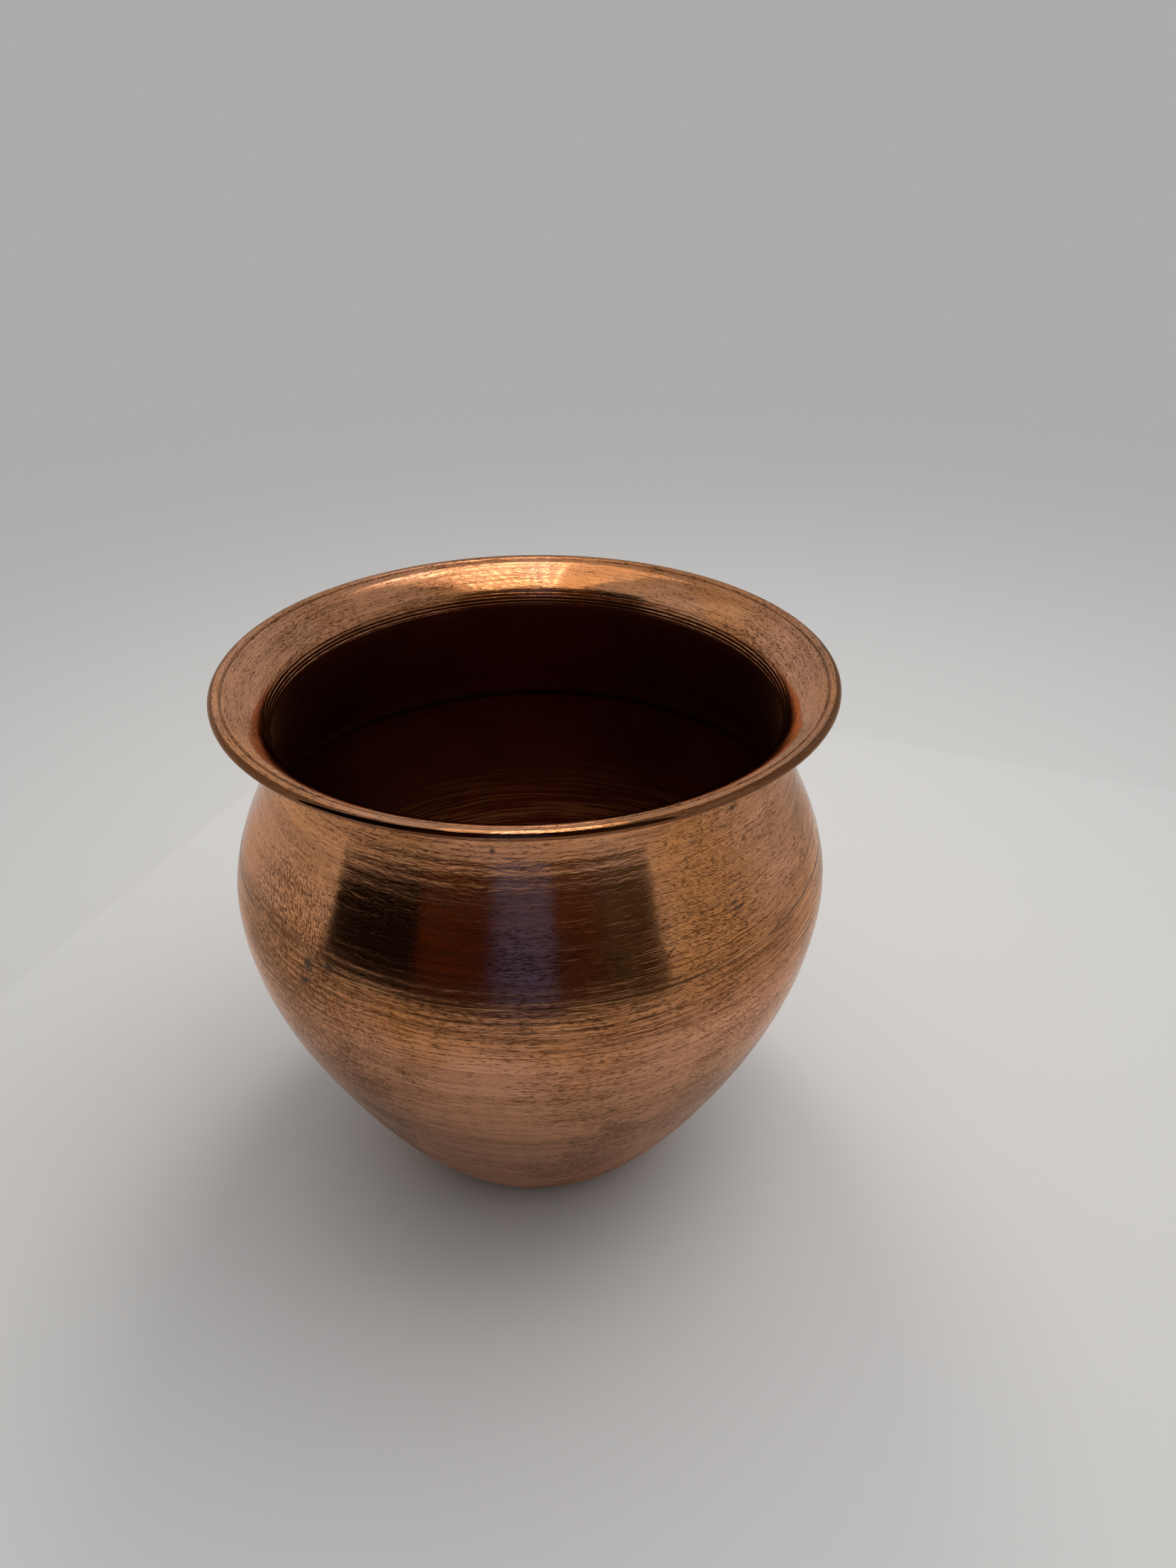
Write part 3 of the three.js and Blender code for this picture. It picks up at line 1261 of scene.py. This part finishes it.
@dataclass
class Studio:
    """A pale floor, soft light from above, and white and dark cards that only the metal reflects."""

    turn: float = -24.4  # the tent's turn about the pot, in degrees
    left: float = -0.108
    right: float = 0.130
    left_front: float = -0.109  # how far the left wall comes forward
    right_front: float = -0.063
    back: float = 0.150
    ceiling: float = 0.235
    floor_reach: float = 4.0
    table: float = 0.368  # radius of the white table top round the pot
    room_reach: float = 3.0  # how far the dark floor goes
    room_height: float = 0.45
    dark_floor_lift: float = 0.0005
    dark: Colour = (0.006, 0.004, 0.003, 1.0)
    door: RoomView = RoomView(-40.0, 3.0, (0.050, 0.016, 0.004, 1.0))
    maker: RoomView = RoomView(-14.0, 7.0, (0.078, 0.092, 0.250, 1.0))
    bench: RoomView = RoomView(6.0, 3.0, (0.058, 0.026, 0.011, 1.0))
    curtain: RoomView = RoomView(23.0, 7.0, (0.054, 0.044, 0.024, 1.0))
    panel_lamp: LampPanel = LampPanel()
    sky: SoftSky = SoftSky()
    lamps: tuple[SoftLamp, ...] = (
        SoftLamp("ceiling_lamp", (0.006, 0.085, 0.230), 0.05, 0.12, (1.0, 0.93, 0.84)),
        SoftLamp("soft_overhead", (0.24, 0.04, 0.60), 0.40, 0.9, (1.0, 0.985, 0.96)),
    )

    def build(self) -> None:
        """Makes the floor, the cards, the lights and the world."""
        self.floor()
        self.tent()
        self.dark_room()
        self.screen()
        self.lamp_panel()
        for lamp in self.lamps:
            lamp.build()
        self.world()

    def place(self, a: float, b: float, z: float) -> Vector:
        """A point of the tent, in metres.

        Args:
            a: how far across the tent it is, to the right.
            b: how deep in the tent it is.
            z: how high it is.

        Returns:
            The point in the pot's own frame.
        """
        angle = math.radians(self.turn)
        x = a * math.cos(angle) - b * math.sin(angle)
        y = a * math.sin(angle) + b * math.cos(angle)
        return Vector((x, y, z))

    def floor(self) -> bpy.types.Object:
        """The floor that the pot stands on.

        Returns:
            The sheet.
        """
        corners = ((-1, -1), (1, -1), (1, 1), (-1, 1))
        sheet = self.panel("floor", [Vector((x, y, 0.0)) * self.floor_reach for x, y in corners])
        sheet.data.materials.append(MattPaper().make())
        return sheet

    def staged(self, name: str, bm: bmesh.types.BMesh) -> bpy.types.Object:
        """Turns a bmesh into an object of the stage.

        Args:
            name: the object's name.
            bm: its mesh, which is freed.

        Returns:
            The object.
        """
        mesh = bpy.data.meshes.new(name)
        bm.to_mesh(mesh)
        bm.free()
        made = bpy.data.objects.new(name, mesh)
        bpy.context.scene.collection.objects.link(made)
        return made

    def panel(self, name: str, corners: Sequence[Vector]) -> bpy.types.Object:
        """A flat four-cornered sheet.

        Args:
            name: the object's name.
            corners: its corners in order.

        Returns:
            The sheet.
        """
        bm = bmesh.new()
        bm.faces.new([bm.verts.new(corner) for corner in corners])
        return self.staged(name, bm)

    def glow(self, made: bpy.types.Object, colour: Colour, strength: float = 1.0) -> bpy.types.Object:
        """Makes a sheet glow, and shows it only in reflections.

        Args:
            made: the sheet.
            colour: its colour.
            strength: how strongly it glows.

        Returns:
            The sheet.
        """
        shader = Shader(bpy.data.materials.new(made.name))
        lit = shader.node("Emission", None, {"Color": colour, "Strength": strength})
        shader.node("OutputMaterial", None, {"Surface": lit.outputs[0]})
        return self.only_in_reflections(made, shader.owner)

    def only_in_reflections(self, made: bpy.types.Object, finish: bpy.types.Material) -> bpy.types.Object:
        """Dresses a sheet, and hides it from everything but glossy reflections.

        Args:
            made: the sheet.
            finish: its material.

        Returns:
            The sheet.
        """
        made.data.materials.append(finish)
        made.visible_camera = False
        made.visible_diffuse = False
        made.visible_shadow = False
        made.visible_transmission = False
        made.visible_volume_scatter = False
        return made

    def upright(self, side: Side, start: Vector, end: Vector) -> bpy.types.Object:
        """A glowing wall of the tent.

        Args:
            side: which wall it is.
            start: where it begins on the floor.
            end: where it ends.

        Returns:
            The card.
        """
        up = Vector((0.0, 0.0, self.ceiling))
        return self.glow(self.panel(side.value, [start, end, end + up, start + up]), CARD_GLOW[side])

    def tent(self) -> None:
        """The white walls and ceiling round the pot."""
        left_front = self.place(self.left, self.left_front, 0.0)
        left_back = self.place(self.left, self.back, 0.0)
        right_front = self.place(self.right, self.right_front, 0.0)
        right_back = self.place(self.right, self.back, 0.0)
        self.upright(Side.LEFT, left_front, left_back)
        self.upright(Side.BACK, left_back, right_back)
        self.upright(Side.RIGHT, right_back, right_front)
        up = Vector((0.0, 0.0, self.ceiling))
        corners = [corner + up for corner in (left_front, right_front, right_back, left_back)]
        self.glow(self.panel(Side.CEILING.value, corners), CARD_GLOW[Side.CEILING])

    def dark_room(self) -> None:
        """The dark floor that lies round the white table."""
        bm = bmesh.new()
        edge = bmesh.ops.create_circle(bm, segments=96, radius=self.table)["verts"]
        loop = {e for vert in edge for e in vert.link_edges}
        rim = bmesh.ops.create_circle(bm, segments=96, radius=self.room_reach)["verts"]
        outer = {e for vert in rim for e in vert.link_edges}
        bmesh.ops.bridge_loops(bm, edges=[*loop, *outer])
        bmesh.ops.translate(bm, vec=(0.0, 0.0, self.dark_floor_lift), verts=bm.verts)
        self.glow(self.staged("dark_floor", bm), self.dark)

    def screen(self) -> bpy.types.Object:
        """An upright curved screen at the table's front edge, which carries the views of the room.

        Returns:
            The screen.
        """
        bm = bmesh.new()
        foot = bm.verts.new((-self.table, 0.0, 0.0))
        top = bm.verts.new((-self.table, 0.0, self.room_height))
        edge = bm.edges.new((foot, top))
        axis = (0.0, 0.0, 1.0)
        bmesh.ops.spin(bm, geom=[foot, top, edge], cent=(0, 0, 0), axis=axis, angle=math.pi, steps=60)
        shader = Shader(bpy.data.materials.new("room_screen"))
        split = shader.node("SeparateXYZ", None, {0: shader.node("TexCoord").outputs["Object"]})
        across, depth = Field(shader, split.outputs[0]), Field(shader, split.outputs[1])
        azimuth = shader.maths("ARCTAN2", across, depth * -1.0) * math.degrees(1.0)
        tone: Feed = self.dark
        for view in (self.door, self.maker, self.bench, self.curtain):
            begun = azimuth.rise(view.start - view.soft / 2.0, view.start + view.soft / 2.0)
            tone = shader.mix(begun, tone, view.glow)
        lit = shader.node("Emission", None, {"Color": tone, "Strength": 1.0})
        shader.node("OutputMaterial", None, {"Surface": lit.outputs[0]})
        return self.only_in_reflections(self.staged("room_screen", bm), shader.owner)

    def lamp_panel(self) -> bpy.types.Object:
        """The lamp in the tent's ceiling, as the metal sees it.

        Returns:
            Its bright squares.
        """
        lamp = self.panel_lamp
        halo = [Vector((x, y, self.ceiling - lamp.halo_drop)) for x, y in lamp.halo]
        self.glow(self.panel("lamp_halo", halo), lamp.halo_glow)
        squares = lamp.squares()
        place = (*lamp.place, self.ceiling - lamp.drop)
        bmesh.ops.translate(squares, vec=place, verts=squares.verts)
        return self.glow(self.staged("led_panel", squares), lamp.glow, lamp.strength)

    def world(self) -> None:
        """Soft light from above for the floor, darkness for the metal, and a pale backdrop."""
        shader = Shader(bpy.data.worlds.new("soft_studio"))
        rays = shader.node("LightPath")
        direction = shader.node("TexCoord").outputs["Generated"]
        split = shader.node("SeparateXYZ", None, {0: direction})
        x, y, z = (Field(shader, split.outputs[i]) for i in range(3))
        height = (z + y * self.sky.lean_back + x * self.sky.lean_right).rise(*self.sky.rise)
        above = shader.mix(height, self.sky.low, self.sky.high)
        light = shader.mix(rays.outputs["Is Camera Ray"], above, MattPaper.distance_tone)
        room = shader.node("Background", None, {"Color": light})
        dark = shader.node("Background", None, {"Color": self.sky.dark})
        inputs = {0: rays.outputs["Is Glossy Ray"], 1: room.outputs[0], 2: dark.outputs[0]}
        chosen = shader.node("MixShader", None, inputs)
        shader.node("OutputWorld", None, {"Surface": chosen.outputs[0]})
        bpy.context.scene.world = shader.owner


@dataclass(frozen=True)
class Viewpoint:
    """Where the pot is looked at from: close, from above the mouth."""

    distance: float = 0.1404  # in front of the pot's axis, in metres
    height: float = 0.1498
    down: float = 31.45  # degrees below the level
    right: float = 3.37  # degrees to the right of the axis
    lens: float = 26.04  # mm, on a sensor of the width below
    sensor: float = 36.0
    nearest: float = 0.005  # metres
    farthest: float = 20.0

    def build(self) -> None:
        """Makes the camera."""
        data = bpy.data.cameras.new("camera")
        data.sensor_width = self.sensor
        data.lens = self.lens
        data.clip_start = self.nearest
        data.clip_end = self.farthest
        camera = bpy.data.objects.new("camera", data)
        camera.location = (0.0, -self.distance, self.height)
        camera.rotation_euler = (math.radians(90.0 - self.down), 0.0, -math.radians(self.right))
        bpy.context.scene.collection.objects.link(camera)
        bpy.context.scene.camera = camera


def set_tone() -> None:
    """Shows the colours as they are, with no film look."""
    bpy.context.scene.view_settings.view_transform = "Standard"
    bpy.context.scene.view_settings.look = "None"


def main() -> None:
    """Builds the pot, then the studio round it."""
    logging.basicConfig(level=logging.INFO, format="%(name)s: %(message)s")
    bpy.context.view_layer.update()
    shape = PotShape()
    copper = ScouredCopper().make()
    pieces = [
        LowerBowl(shape, copper).build(),
        UpperShell(shape, copper).build(),
        SeamBraze(shape, BrazeMetal().make()).build(),
    ]
    for piece in pieces:
        log.info("%s has %d faces", piece.name, len(piece.data.polygons))
    Viewpoint().build()
    Studio().build()
    set_tone()


if __name__ == "__main__":
    main()
